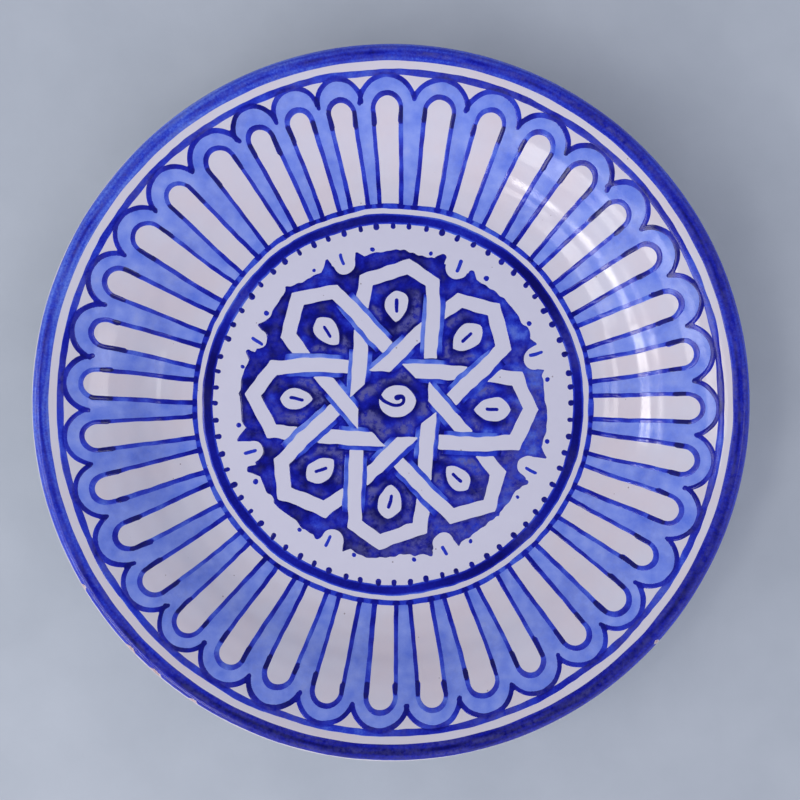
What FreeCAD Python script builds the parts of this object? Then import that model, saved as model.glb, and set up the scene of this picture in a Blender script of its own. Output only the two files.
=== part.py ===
import FreeCAD, Part

import math
import os

# A hand painted ceramic plate. Millimetres and degrees, +Z up.
# The origin is the centre of the circle that the foot ring rests on, and the painting faces up.
# The plate is built in the order that it is made: clay, glaze, then the layers of cobalt paint.

os.makedirs("parts", exist_ok=True)

Vector = FreeCAD.Vector
UP = Vector(0, 0, 1)
ORIGIN = Vector(0, 0, 0)

# Driving dimensions of the dish
PLATE_DIAMETER = 320.0
PLATE_HEIGHT = 42.0
WALL_THICKNESS = 7.6
GLAZE_THICKNESS = 0.5
PAINT_THICKNESS = 0.2
FLOOR_RADIUS = 86.5
FLOOR_BEND_RADIUS = 52.0
STEEPEST_SLOPE = 36.0
RIM_SLOPE = 15.0
FOOT_OUTER_RADIUS = 83.0
FOOT_INNER_RADIUS = 75.0
FOOT_EDGE_CHAMFER = 1.0
BARE_FOOT_HEIGHT = 1.6
LIP_PAINT_ANGLE = 20.0

# Rings of paint, from the rim to the centre
RIM_BAND_INNER = 151.9
BORDER_LINE_OUTER = 148.7
BORDER_LINE_INNER = 145.9
OUTER_LINE_OUTER = 93.6
OUTER_LINE_INNER = 91.2
THICK_RING_OUTER = 89.0
THICK_RING_INNER = 84.0

# Petals: three narrow ones where the painter closed the ring, all others equal
PETAL_COUNT = 36
NARROW_PETAL_COUNT = 3
NARROW_PETAL_PITCH = 8.2
FIRST_PETAL_ANGLE = 99.9
PETAL_STROKE = 2.4
TONGUE_FOOT_HALF_WIDTH = 5.2
TONGUE_TOP_HALF_WIDTH = 6.5
TONGUE_SHOULDER_RADIUS = 132.4
SCALLOP_STROKE = 2.4
SCALLOP_TOP_RADIUS = 146.1
SCALLOP_CUSP_RADIUS = 136.6
WASH_OUTER_RADIUS = 134.2

# Beads on the inside of the thick ring
BEAD_COUNT = 68
BEAD_WIDTH = 2.7
BEAD_INNER_RADIUS = 81.3

# Interlace: eight loops of white strap, woven over and under
LOOP_COUNT = 8
ROSETTE_TURN = -3.0
STRAP_OFFSET = 16.3
STRAP_WIDTH = 6.6
EDGE_LINE_WIDTH = 2.2
EDGE_LINE_BEFORE_CROSSING = 15.8
EDGE_LINE_AFTER_CROSSING = 12.3
LOOP_SHOULDER = 56.0
LOOP_APEX = 65.1
GROUND_MARGIN = 3.8
GROUND_RADIUS = 70.0
VALLEY_NOTCH_RADIUS = 4.9
VALLEY_NOTCH_CENTRE_RADIUS = 69.2
SHORT_STRAP_START = 5.5
SEED_TIP_RADIUS = 37.6
SEED_WIDEST_RADIUS = 47.0
SEED_OUTER_RADIUS = 54.2
SEED_HALF_WIDTH = 5.7
SEED_HALF_WIDTH_NEAR_TIP = 4.6
SEED_STROKE_RADIUS = 46.0
SEED_STROKE_LENGTH = 4.2
SEED_STROKE_WIDTH = 1.6
EYE_RADIUS = 7.8
EYE_CENTRE = Vector(1.8, 1.2, 0)
SWIRL_BLOB_CENTRE = EYE_CENTRE + Vector(0.1, 2.0, 0)
SWIRL_BLOB_RADIUS = 1.5
SWIRL_CURL_CENTRE = EYE_CENTRE + Vector(0.6, 0.4, 0)
SWIRL_CURL_RADIUS = 2.3
SWIRL_TAIL_CENTRE = EYE_CENTRE + Vector(0.2, 7.0, 0)
SWIRL_TAIL_RADIUS = 8.9
SWIRL_STROKE = 1.6

# Marks around the interlace
DASH_RADIUS = 71.0
DASH_LENGTH = 4.6
DASH_WIDTH = 1.5
DOT_RADIUS = 73.2
DOT_DIAMETER = 2.3
DOT_ANGLE = 11.0

# Values that follow from the driving dimensions
RIM_RADIUS = PLATE_DIAMETER / 2
LIP_RADIUS = WALL_THICKNESS / 2
LIP_CENTRE_RADIUS = RIM_RADIUS - LIP_RADIUS
LIP_CENTRE_HEIGHT = PLATE_HEIGHT - LIP_RADIUS
WALL_END_RADIUS = LIP_CENTRE_RADIUS - LIP_RADIUS * math.sin(math.radians(RIM_SLOPE))
BEND_END_RADIUS = FLOOR_RADIUS + FLOOR_BEND_RADIUS * math.sin(math.radians(STEEPEST_SLOPE))
SWEEP_RADIUS = (WALL_END_RADIUS - BEND_END_RADIUS) / (
    math.sin(math.radians(STEEPEST_SLOPE)) - math.sin(math.radians(RIM_SLOPE))
)
SWEEP_CENTRE_RADIUS = WALL_END_RADIUS + SWEEP_RADIUS * math.sin(math.radians(RIM_SLOPE))
SWEEP_CENTRE_HEIGHT = (
    LIP_CENTRE_HEIGHT - (SWEEP_RADIUS - LIP_RADIUS) * math.cos(math.radians(RIM_SLOPE))
)
FLOOR_HEIGHT = (
    SWEEP_CENTRE_HEIGHT
    + (SWEEP_RADIUS + FLOOR_BEND_RADIUS) * math.cos(math.radians(STEEPEST_SLOPE))
    - FLOOR_BEND_RADIUS
)
UNDERSIDE_HEIGHT = FLOOR_HEIGHT - WALL_THICKNESS
WIDE_PETAL_PITCH = (360 - NARROW_PETAL_COUNT * NARROW_PETAL_PITCH) / (
    PETAL_COUNT - NARROW_PETAL_COUNT
)
LOOP_PITCH = 360 / LOOP_COUNT
SQUARE_CROSSING = STRAP_OFFSET
SLANT_CROSSING = STRAP_OFFSET / math.tan(math.radians(LOOP_PITCH / 2))
COLUMN_HEIGHT = PLATE_HEIGHT + PAINT_THICKNESS


# ---------------------------------------------------------------- profiles of the turned layers


def profile_point(radius, height):
    return Vector(radius, 0, height)


def profile_line(start, end):
    return Part.LineSegment(profile_point(*start), profile_point(*end)).toShape()


def profile_arc(centre, radius, start_angle, end_angle):
    points = []
    for angle in (start_angle, (start_angle + end_angle) / 2, end_angle):
        turn = math.radians(angle)
        points.append(
            profile_point(centre[0] + radius * math.cos(turn), centre[1] + radius * math.sin(turn))
        )
    return Part.Arc(*points).toShape()


def front_profile(offset, lip_angle):
    """Edges of the painted face, moved out of the surface by offset, from the axis over the lip."""
    floor = FLOOR_HEIGHT + offset
    return [
        profile_line((0, floor), (FLOOR_RADIUS, floor)),
        profile_arc(
            (FLOOR_RADIUS, FLOOR_HEIGHT + FLOOR_BEND_RADIUS),
            FLOOR_BEND_RADIUS - offset,
            -90,
            STEEPEST_SLOPE - 90,
        ),
    ] + rim_profile(offset, 90 + STEEPEST_SLOPE, lip_angle)


def rim_profile(offset, start_angle, lip_angle):
    """Edges of the upper wall and the lip, from start_angle on the wall's sweep to lip_angle."""
    return [
        profile_arc(
            (SWEEP_CENTRE_RADIUS, SWEEP_CENTRE_HEIGHT),
            SWEEP_RADIUS + offset,
            start_angle,
            90 + RIM_SLOPE,
        ),
        profile_arc(
            (LIP_CENTRE_RADIUS, LIP_CENTRE_HEIGHT), LIP_RADIUS + offset, 90 + RIM_SLOPE, lip_angle
        ),
    ]


def back_profile(offset, foot_radius):
    """Edges of the outside, moved out by offset, from the widest point of the lip to the foot."""
    underside = UNDERSIDE_HEIGHT - offset
    return [
        profile_arc(
            (LIP_CENTRE_RADIUS, LIP_CENTRE_HEIGHT), LIP_RADIUS + offset, 0, RIM_SLOPE - 90
        ),
        profile_arc(
            (SWEEP_CENTRE_RADIUS, SWEEP_CENTRE_HEIGHT),
            SWEEP_RADIUS - WALL_THICKNESS - offset,
            90 + RIM_SLOPE,
            90 + STEEPEST_SLOPE,
        ),
        profile_arc(
            (FLOOR_RADIUS, FLOOR_HEIGHT + FLOOR_BEND_RADIUS),
            FLOOR_BEND_RADIUS + WALL_THICKNESS + offset,
            STEEPEST_SLOPE - 90,
            -90,
        ),
        profile_line((FLOOR_RADIUS, underside), (foot_radius, underside)),
    ]


def profile_polyline(*corners):
    return [profile_line(start, end) for start, end in zip(corners, corners[1:])]


def turned_solid(edges):
    profile = Part.Face(Part.Wire(Part.__sortEdges__(edges)))
    return profile.revolve(ORIGIN, UP, 360)


def turned_layer(outer_edges, inner_edges):
    """A coat between two profiles that start and end opposite each other."""
    ends = []
    for position in (0, -1):
        outer_ends = open_ends(outer_edges)
        inner_ends = open_ends(inner_edges)
        if outer_ends[position].distanceToPoint(inner_ends[position]) > 0:
            segment = Part.LineSegment(outer_ends[position], inner_ends[position])
            ends.append(segment.toShape())
    return turned_solid(outer_edges + inner_edges + ends)


def open_ends(edges):
    wire = Part.Wire(edges)
    ordered = wire.OrderedVertexes
    return [ordered[0].Point, ordered[-1].Point]


# ---------------------------------------------------------------- clay and glaze


def clay_body():
    clay = -GLAZE_THICKNESS
    foot_outer = FOOT_OUTER_RADIUS + clay
    foot_inner = FOOT_INNER_RADIUS - clay
    ceiling = UNDERSIDE_HEIGHT - clay
    foot = profile_polyline(
        (foot_outer, ceiling),
        (foot_outer, FOOT_EDGE_CHAMFER),
        (foot_outer - FOOT_EDGE_CHAMFER, 0),
        (foot_inner + FOOT_EDGE_CHAMFER, 0),
        (foot_inner, FOOT_EDGE_CHAMFER),
        (foot_inner, ceiling),
        (0, ceiling),
        (0, FLOOR_HEIGHT + clay),
    )
    return turned_solid(front_profile(clay, 0) + back_profile(clay, foot_outer) + foot)


def glaze_front():
    return turned_layer(front_profile(0, 0), front_profile(-GLAZE_THICKNESS, 0))


def glaze_back():
    clay_foot_radius = FOOT_OUTER_RADIUS - GLAZE_THICKNESS
    outer = back_profile(0, FOOT_OUTER_RADIUS) + [
        profile_line((FOOT_OUTER_RADIUS, UNDERSIDE_HEIGHT), (FOOT_OUTER_RADIUS, BARE_FOOT_HEIGHT))
    ]
    inner = back_profile(-GLAZE_THICKNESS, clay_foot_radius) + [
        profile_line(
            (clay_foot_radius, UNDERSIDE_HEIGHT + GLAZE_THICKNESS),
            (clay_foot_radius, BARE_FOOT_HEIGHT),
        )
    ]
    return turned_layer(outer, inner)


def glaze_foot_well():
    clay_radius = FOOT_INNER_RADIUS + GLAZE_THICKNESS
    clay_ceiling = UNDERSIDE_HEIGHT + GLAZE_THICKNESS
    edges = profile_polyline(
        (0, UNDERSIDE_HEIGHT),
        (FOOT_INNER_RADIUS, UNDERSIDE_HEIGHT),
        (FOOT_INNER_RADIUS, BARE_FOOT_HEIGHT),
        (clay_radius, BARE_FOOT_HEIGHT),
        (clay_radius, clay_ceiling),
        (0, clay_ceiling),
        (0, UNDERSIDE_HEIGHT),
    )
    return turned_solid(edges)


# ---------------------------------------------------------------- outlines that get painted
# An outline is a column: its flat shape, extruded through the whole height of the plate.
# painted() keeps the part of the paint coat that the column covers.


def column(edges):
    face = Part.Face(Part.Wire(edges))
    return face.extrude(UP * COLUMN_HEIGHT)


def disc(radius, centre=ORIGIN):
    return Part.makeCylinder(radius, COLUMN_HEIGHT, centre)


def ring(outer_radius, inner_radius):
    return disc(outer_radius).cut(disc(inner_radius))


def polygon(corners):
    points = [Vector(x, y, 0) for x, y in corners]
    return column(Part.makePolygon(points + points[:1]).Edges)


def turned(shape, angle):
    copy = shape.copy()
    copy.rotate(ORIGIN, UP, angle)
    return copy


def joined(shapes):
    return shapes[0].multiFuse(shapes[1:]).removeSplitter()


def round_ended_stroke(start, end, width):
    """A brush stroke from start to end, as wide as width, with half round ends."""
    along = (end - start).normalize() * (width / 2)
    across = Vector(-along.y, along.x, 0)
    return column(
        [
            Part.LineSegment(start + across, end + across).toShape(),
            Part.Arc(end + across, end + along, end - across).toShape(),
            Part.LineSegment(end - across, start - across).toShape(),
            Part.Arc(start - across, start - along, start + across).toShape(),
        ]
    )


def painted_coat():
    return turned_layer(
        front_profile(PAINT_THICKNESS, LIP_PAINT_ANGLE), front_profile(0, LIP_PAINT_ANGLE)
    )


def painted(outline):
    return PAINT_COAT.common(outline)


def rim_band():
    """The band that the painter lays over the rim and down the outside of the lip."""
    start = math.degrees(math.acos((RIM_BAND_INNER - SWEEP_CENTRE_RADIUS) / SWEEP_RADIUS))
    return turned_layer(
        rim_profile(PAINT_THICKNESS, start, LIP_PAINT_ANGLE),
        rim_profile(0, start, LIP_PAINT_ANGLE),
    )


# ---------------------------------------------------------------- petals on the wall


def petals():
    """Angle and width scale of each petal, counter clockwise from the first narrow one."""
    layout = []
    angle = FIRST_PETAL_ANGLE - NARROW_PETAL_PITCH / 2
    for number in range(PETAL_COUNT):
        pitch = NARROW_PETAL_PITCH if number < NARROW_PETAL_COUNT else WIDE_PETAL_PITCH
        layout.append((angle + pitch / 2, pitch / WIDE_PETAL_PITCH))
        angle += pitch
    return layout


def tongue(margin, scale):
    """One petal's white tongue with its round top, grown by margin; its foot is below the ring line."""
    foot_half_width = TONGUE_FOOT_HALF_WIDTH * scale + margin
    top_half_width = TONGUE_TOP_HALF_WIDTH * scale + margin
    foot_left = Vector(OUTER_LINE_INNER, foot_half_width, 0)
    foot_right = Vector(OUTER_LINE_INNER, -foot_half_width, 0)
    top_left = Vector(TONGUE_SHOULDER_RADIUS, top_half_width, 0)
    top_right = Vector(TONGUE_SHOULDER_RADIUS, -top_half_width, 0)
    crown = Vector(TONGUE_SHOULDER_RADIUS + TONGUE_TOP_HALF_WIDTH + margin, 0, 0)
    return column(
        [
            Part.LineSegment(foot_right, top_right).toShape(),
            Part.Arc(top_right, crown, top_left).toShape(),
            Part.LineSegment(top_left, foot_left).toShape(),
            Part.LineSegment(foot_left, foot_right).toShape(),
        ]
    )


def scallop_disc(margin, scale):
    """The disc whose outer half is one arch of the scalloped edge."""
    half_width = SCALLOP_CUSP_RADIUS * math.tan(math.radians(WIDE_PETAL_PITCH / 2)) * scale
    rise = SCALLOP_TOP_RADIUS - SCALLOP_CUSP_RADIUS
    arch_radius = (half_width**2 + rise**2) / (2 * rise)
    return disc(arch_radius + margin, Vector(SCALLOP_TOP_RADIUS - arch_radius, 0, 0))


def petal_field():
    """The columns of the petal outlines, the scalloped edge and the wash between them."""
    layout = petals()
    tongues_outside = [turned(tongue(PETAL_STROKE / 2, s), a) for a, s in layout]
    tongues_inside = [turned(tongue(-PETAL_STROKE / 2, s), a) for a, s in layout]
    arches_outside = [turned(scallop_disc(SCALLOP_STROKE / 2, s), a) for a, s in layout]
    arches_inside = [turned(scallop_disc(-SCALLOP_STROKE / 2, s), a) for a, s in layout]
    wall_ring = ring(WASH_OUTER_RADIUS, OUTER_LINE_OUTER)
    inner_field = joined([wall_ring] + arches_inside)
    outer_field = joined([wall_ring] + arches_outside).common(disc(BORDER_LINE_INNER))
    outlines = Part.makeCompound(
        [
            outside.cut(inside).cut(disc(OUTER_LINE_OUTER))
            for outside, inside in zip(tongues_outside, tongues_inside)
        ]
    )
    wash = inner_field.cut(Part.makeCompound(tongues_outside))
    scallops = outer_field.cut(inner_field).cut(disc(WASH_OUTER_RADIUS))
    return outlines, scallops, wash


# ---------------------------------------------------------------- beads


def bead_teeth():
    tooth_tip = Vector(BEAD_INNER_RADIUS + BEAD_WIDTH / 2, 0, 0)
    tooth_root = Vector(THICK_RING_INNER + BEAD_WIDTH, 0, 0)
    tooth = round_ended_stroke(tooth_tip, tooth_root, BEAD_WIDTH).common(disc(THICK_RING_INNER))
    pitch = 360 / BEAD_COUNT
    return Part.makeCompound([turned(tooth, number * pitch) for number in range(BEAD_COUNT)])


# ---------------------------------------------------------------- interlace on the floor


def strap_bar(start, end, side, margin, start_slant=0.0, end_slant=0.0):
    """A straight piece of strap along the loop axis (+X), on the left (+1) or right (-1) side.

    A slant moves the outer corner of that end further along the strap than the inner corner.
    """
    inner = STRAP_OFFSET - STRAP_WIDTH / 2 - margin
    outer = STRAP_OFFSET + STRAP_WIDTH / 2 + margin
    half = (outer - inner) / 2
    corners = [
        (start - start_slant * half, side * inner),
        (end - end_slant * half, side * inner),
        (end + end_slant * half, side * outer),
        (start + start_slant * half, side * outer),
    ]
    return polygon(corners)


def loop_outline(margin):
    """The pointed loop, as the outside (positive margin) or inside (negative) of its strap."""
    slope = math.atan2(LOOP_APEX - LOOP_SHOULDER, STRAP_OFFSET)
    half_width = STRAP_OFFSET + margin
    apex = LOOP_APEX + margin / math.cos(slope)
    shoulder = apex - half_width * math.tan(slope)
    return polygon(
        [
            (0, -half_width),
            (shoulder, -half_width),
            (apex, 0),
            (shoulder, half_width),
            (0, half_width),
        ]
    )


def beyond(position):
    """Everything further out along the loop axis than position."""
    reach = LOOP_APEX * 2
    return polygon([(position, -reach), (reach, -reach), (reach, reach), (position, reach)])


def white_strap():
    """The visible pieces of the strap of one loop: it dips under its neighbours twice.

    It crosses two other straps: one squarely near the centre, and one at a slant further out.
    """
    half = STRAP_WIDTH / 2
    covered = half + EDGE_LINE_WIDTH
    slant_covered = covered / math.sin(math.radians(LOOP_PITCH))
    band = loop_outline(half).cut(loop_outline(-half))
    left_under_crossing = strap_bar(
        SLANT_CROSSING, SLANT_CROSSING + slant_covered, 1, EDGE_LINE_WIDTH, end_slant=1
    )
    roof = band.common(beyond(SLANT_CROSSING)).cut(left_under_crossing)
    right_leg = strap_bar(SQUARE_CROSSING + covered, SLANT_CROSSING, -1, 0)
    left_leg = strap_bar(
        SHORT_STRAP_START, SLANT_CROSSING - slant_covered, 1, 0, start_slant=-1, end_slant=1
    )
    return joined([roof, right_leg]).fuse(left_leg)


def edge_lines():
    """The lines that flank one loop's strap where it passes over its neighbours."""
    left = strap_bar(
        SHORT_STRAP_START,
        SQUARE_CROSSING + STRAP_WIDTH + EDGE_LINE_WIDTH,
        1,
        EDGE_LINE_WIDTH,
        start_slant=-1,
    )
    right = strap_bar(
        SLANT_CROSSING - EDGE_LINE_BEFORE_CROSSING,
        SLANT_CROSSING + EDGE_LINE_AFTER_CROSSING,
        -1,
        EDGE_LINE_WIDTH,
    )
    return left.fuse(right)


def seed():
    """The reserved almond inside a loop, with its point towards the centre."""
    tip = Vector(SEED_TIP_RADIUS, 0, 0)
    left = Vector(SEED_WIDEST_RADIUS, SEED_HALF_WIDTH, 0)
    right = Vector(SEED_WIDEST_RADIUS, -SEED_HALF_WIDTH, 0)
    near_tip = (SEED_TIP_RADIUS + SEED_WIDEST_RADIUS) / 2
    near_tip_right = Vector(near_tip, -SEED_HALF_WIDTH_NEAR_TIP, 0)
    near_tip_left = Vector(near_tip, SEED_HALF_WIDTH_NEAR_TIP, 0)
    return column(
        [
            Part.Arc(tip, near_tip_right, right).toShape(),
            Part.Arc(right, Vector(SEED_OUTER_RADIUS, 0, 0), left).toShape(),
            Part.Arc(left, near_tip_left, tip).toShape(),
        ]
    )


def seed_stroke():
    inner = Vector(SEED_STROKE_RADIUS - SEED_STROKE_LENGTH / 2, 0, 0)
    outer = Vector(SEED_STROKE_RADIUS + SEED_STROKE_LENGTH / 2, 0, 0)
    return round_ended_stroke(inner, outer, SEED_STROKE_WIDTH)


def around_rosette(shape, half_step=0):
    """Copies of a shape drawn along +X, one for each loop or, half a step on, each valley."""
    return [
        turned(shape, ROSETTE_TURN + (number + half_step) * LOOP_PITCH)
        for number in range(LOOP_COUNT)
    ]


def eye_swirl():
    """The comma in the white eye: a blob that curls right and runs out to the left."""
    blob = disc(SWIRL_BLOB_RADIUS, SWIRL_BLOB_CENTRE)
    curl = arc_stroke(SWIRL_CURL_CENTRE, SWIRL_CURL_RADIUS, -100, 90, SWIRL_STROKE)
    tail = arc_stroke(SWIRL_TAIL_CENTRE, SWIRL_TAIL_RADIUS, -140, -90, SWIRL_STROKE)
    return joined([blob, curl, tail]).common(disc(EYE_RADIUS, EYE_CENTRE))


def arc_stroke(centre, radius, start_angle, end_angle, width):
    band = disc(radius + width / 2, centre).cut(disc(radius - width / 2, centre))
    reach = radius * 3
    middle = (start_angle + end_angle) / 2
    fan = [(centre.x, centre.y)]
    for angle in (start_angle, middle, end_angle):
        turn = math.radians(angle)
        fan.append((centre.x + reach * math.cos(turn), centre.y + reach * math.sin(turn)))
    return band.common(polygon(fan))


def interlace():
    """The columns of the dark ground and of the edge lines, both clear of the white strap."""
    straps = Part.makeCompound(around_rosette(white_strap()))
    lines = joined(around_rosette(edge_lines())).cut(straps)
    lobes = around_rosette(loop_outline(STRAP_WIDTH / 2 + GROUND_MARGIN))
    field = joined([disc(GROUND_RADIUS)] + lobes)
    notch = disc(VALLEY_NOTCH_RADIUS, Vector(VALLEY_NOTCH_CENTRE_RADIUS, 0, 0))
    reserves = around_rosette(seed()) + around_rosette(notch, half_step=0.5)
    reserves.append(disc(EYE_RADIUS, EYE_CENTRE))
    ground = field.cut(straps).cut(lines).cut(Part.makeCompound(reserves))
    return ground, lines


def field_marks():
    dash_start = Vector(DASH_RADIUS - DASH_LENGTH / 2, 0, 0)
    dash_end = Vector(DASH_RADIUS + DASH_LENGTH / 2, 0, 0)
    dash = round_ended_stroke(dash_start, dash_end, DASH_WIDTH)
    dot = disc(DOT_DIAMETER / 2, Vector(DOT_RADIUS, 0, 0))
    marks = [dash, turned(dot, DOT_ANGLE), turned(dot, -DOT_ANGLE)]
    return Part.makeCompound(around_rosette(Part.makeCompound(marks), half_step=0.5))


# ---------------------------------------------------------------- the pieces of the plate


PAINT_COAT = painted_coat()


def pieces():
    outlines, scallops, wash = petal_field()
    ground, lines = interlace()
    return {
        "clay_body": clay_body(),
        "glaze_front": glaze_front(),
        "glaze_back": glaze_back(),
        "glaze_foot_well": glaze_foot_well(),
        "rim_band": rim_band(),
        "border_line": painted(ring(BORDER_LINE_OUTER, BORDER_LINE_INNER)),
        "petal_wash": painted(wash),
        "scallop_outlines": painted(scallops),
        "petal_outlines": painted(outlines),
        "medallion_outer_line": painted(ring(OUTER_LINE_OUTER, OUTER_LINE_INNER)),
        "medallion_ring": painted(ring(THICK_RING_OUTER, THICK_RING_INNER)),
        "bead_teeth": painted(bead_teeth()),
        "interlace_ground": painted(ground),
        "strap_edge_lines": painted(lines),
        "seed_strokes": painted(Part.makeCompound(around_rosette(seed_stroke()))),
        "centre_swirl": painted(eye_swirl()),
        "field_marks": painted(field_marks()),
    }


for name, shape in pieces().items():
    shape.exportStep(f"parts/{name}.step")
    print(name, "solids", len(shape.Solids), "valid", shape.isValid(), "mm3", round(shape.Volume))
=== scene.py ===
import math

import bpy
import numpy as np
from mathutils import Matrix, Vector


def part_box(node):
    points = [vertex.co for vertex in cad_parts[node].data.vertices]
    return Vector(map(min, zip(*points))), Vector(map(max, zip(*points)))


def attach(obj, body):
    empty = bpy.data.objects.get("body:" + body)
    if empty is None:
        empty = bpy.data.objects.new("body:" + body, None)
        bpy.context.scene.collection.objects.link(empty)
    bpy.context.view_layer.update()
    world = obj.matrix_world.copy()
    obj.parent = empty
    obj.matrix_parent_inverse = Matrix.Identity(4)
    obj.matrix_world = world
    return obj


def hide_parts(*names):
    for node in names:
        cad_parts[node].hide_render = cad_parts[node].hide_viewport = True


# A hand painted ceramic plate, looked at from straight above.
# Sizes are in millimetres and degrees until a mesh is made, and the mesh is in metres.
# The paint is drawn as the painter draws it: each brush stroke is a field that says how deep a
# point lies inside the stroke, and a sheet of paint fills the places where that depth is above 0.

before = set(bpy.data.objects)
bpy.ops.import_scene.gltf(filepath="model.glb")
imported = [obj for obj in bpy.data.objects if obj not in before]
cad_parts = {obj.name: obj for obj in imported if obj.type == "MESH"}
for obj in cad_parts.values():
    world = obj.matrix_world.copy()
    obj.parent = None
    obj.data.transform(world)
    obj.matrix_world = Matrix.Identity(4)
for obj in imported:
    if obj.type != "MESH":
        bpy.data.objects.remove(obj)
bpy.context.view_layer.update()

MM = 0.001


def reach(node):
    """How far a CAD node extends from the turning axis."""
    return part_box(node)[1].x / MM


def top(node):
    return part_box(node)[1].z / MM


def bottom(node):
    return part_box(node)[0].z / MM


# ---------------------------------------------------------------- sizes

RIM_RADIUS = reach("glaze_front")
LIP_TOP = top("glaze_front")
LIP_CENTRE_HEIGHT = top("glaze_back")
LIP_RADIUS = LIP_TOP - LIP_CENTRE_HEIGHT
FLOOR_HEIGHT = bottom("interlace_ground")
WALL_THICKNESS = 2 * LIP_RADIUS
GLAZE_THICKNESS = 0.5
FLOOR_RADIUS = 86.5
FLOOR_BEND_RADIUS = 52.0
STEEPEST_SLOPE = 36.0
RIM_SLOPE = 15.0
FOOT_INNER_RADIUS = reach("glaze_foot_well") - GLAZE_THICKNESS
FOOT_OUTER_RADIUS = FOOT_INNER_RADIUS + 8.0
FOOT_EDGE_CHAMFER = 1.0
BARE_FOOT_HEIGHT = bottom("glaze_back")

# Rings of paint
RIM_BAND_INNER = 151.9
BORDER_OUTER = reach("border_line")
BORDER_WIDTH = 2.8
OUTER_LINE_OUTER = reach("medallion_outer_line")
OUTER_LINE_WIDTH = 2.4
THICK_RING_OUTER = reach("medallion_ring")
THICK_RING_WIDTH = 5.0

# Petals: three narrow ones where the painter closed the ring, all others equal
PETAL_COUNT = 36
NARROW_PETAL_COUNT = 3
NARROW_PETAL_PITCH = 8.2
FIRST_PETAL_ANGLE = 99.9
PETAL_STROKE = 2.4
TONGUE_FOOT_HALF_WIDTH = 5.2
TONGUE_TOP_HALF_WIDTH = 6.5
TONGUE_SHOULDER_RADIUS = 132.4
SCALLOP_STROKE = 2.4
SCALLOP_TOP_RADIUS = 146.1
SCALLOP_CUSP_RADIUS = 136.6
WIDE_PETAL_PITCH = (360 - NARROW_PETAL_COUNT * NARROW_PETAL_PITCH) / (PETAL_COUNT - NARROW_PETAL_COUNT)

# Beads on the inside of the thick ring
BEAD_COUNT = 68
BEAD_WIDTH = 2.7
BEAD_TIP_RADIUS = 81.5

# Interlace: eight loops of white strap, woven over and under
LOOP_COUNT = 8
LOOP_PITCH = 360 / LOOP_COUNT
ROSETTE_TURN = -3.0
STRAP_OFFSET = 16.3
STRAP_WIDTH = 6.6
EDGE_LINE_WIDTH = 2.2
EDGE_LINE_BEFORE_CROSSING = 15.8
EDGE_LINE_AFTER_CROSSING = 12.3
LOOP_SHOULDER = 56.8
LOOP_SHOULDER_OFFSET = 15.0
LOOP_APEX = 65.1
LOOP_APEX_SHIFTS = (0.8, 1.8, -3.3, 0.3, -1.0, -2.5, -2.3, 1.8)
GROUND_MARGIN = 2.8
GROUND_RADIUS = 70.8
GROUND_LOBE = 0.9
SHORT_STRAP_START = 5.5
SLANT_CROSSING = STRAP_OFFSET / math.tan(math.radians(LOOP_PITCH / 2))
SEED_TIP_RADIUS = 37.6
SEED_WIDEST_RADIUS = 47.0
SEED_OUTER_RADIUS = 54.2
SEED_HALF_WIDTH = 5.7
SEED_STROKE_RADIUS = 46.0
SEED_STROKE_LENGTH = 5.0
SEED_STROKE_WIDTH = 1.6
EYE_RADIUS = 7.8
EYE_CENTRE = (1.8, 1.2)
SWIRL_BLOB_CENTRE = (0.1, 2.0)
SWIRL_BLOB_RADIUS = 1.5
SWIRL_CURL_CENTRE = (0.6, 0.4)
SWIRL_CURL_RADIUS = 2.3
SWIRL_CURL_HALF_WIDTH = 0.85
SWIRL_TAIL_CENTRE = (0.2, 7.0)
SWIRL_TAIL_RADIUS = 8.9
SWIRL_TAIL_HALF_WIDTH = 0.8

# Marks around the interlace
NOTCH_CENTRE_RADIUS = 69.2
NOTCH_RADIUS = 4.9
HORN_ROOT = (62.0, 10.5)
HORN_ROOT_HALF_WIDTH = 5.8
HORN_TIP_HALF_WIDTH = 1.4
HORN_TIP_RADIUS = 71.4
HORN_TIP_OFFSET = 6.8
DASH_RADIUS = 71.0
DASH_LENGTH = 4.6
DASH_WIDTH = 1.6
DOT_RADIUS = 73.2
DOT_DIAMETER = 2.3
DOT_ANGLE = 11.0

# How thick a coat of paint stands, and how softly its edge rises
PAINT_LIFT = 0.10
WASH_LIFT = 0.04
PAINT_SINK = 0.06
EDGE_SOFTNESS = 0.35


# ---------------------------------------------------------------- the painted face of the dish


def arc_profile(centre, radius, start, end, side):
    """Radius, height and normal along an arc; side is 1 if the normal leaves the arc's centre."""
    count = max(4, round(abs(math.radians(end - start)) * radius / 0.3))
    turn = np.radians(np.linspace(start, end, count + 1)[1:])
    cos, sin = np.cos(turn), np.sin(turn)
    return np.array(
        [centre[0] + radius * cos, centre[1] + radius * sin, side * cos, side * sin]
    )


RIM_SLOPE_SIN, RIM_SLOPE_COS = math.sin(math.radians(RIM_SLOPE)), math.cos(math.radians(RIM_SLOPE))
STEEPEST_SIN = math.sin(math.radians(STEEPEST_SLOPE))
LIP_CENTRE = (RIM_RADIUS - LIP_RADIUS, LIP_CENTRE_HEIGHT)
WALL_END = LIP_CENTRE[0] - LIP_RADIUS * RIM_SLOPE_SIN
BEND_CENTRE = (FLOOR_RADIUS, FLOOR_HEIGHT + FLOOR_BEND_RADIUS)
SWEEP_RADIUS = (WALL_END - FLOOR_RADIUS - FLOOR_BEND_RADIUS * STEEPEST_SIN) / (
    STEEPEST_SIN - RIM_SLOPE_SIN
)
SWEEP_CENTRE = (
    WALL_END + SWEEP_RADIUS * RIM_SLOPE_SIN,
    LIP_CENTRE_HEIGHT - (SWEEP_RADIUS - LIP_RADIUS) * RIM_SLOPE_COS,
)


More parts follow.
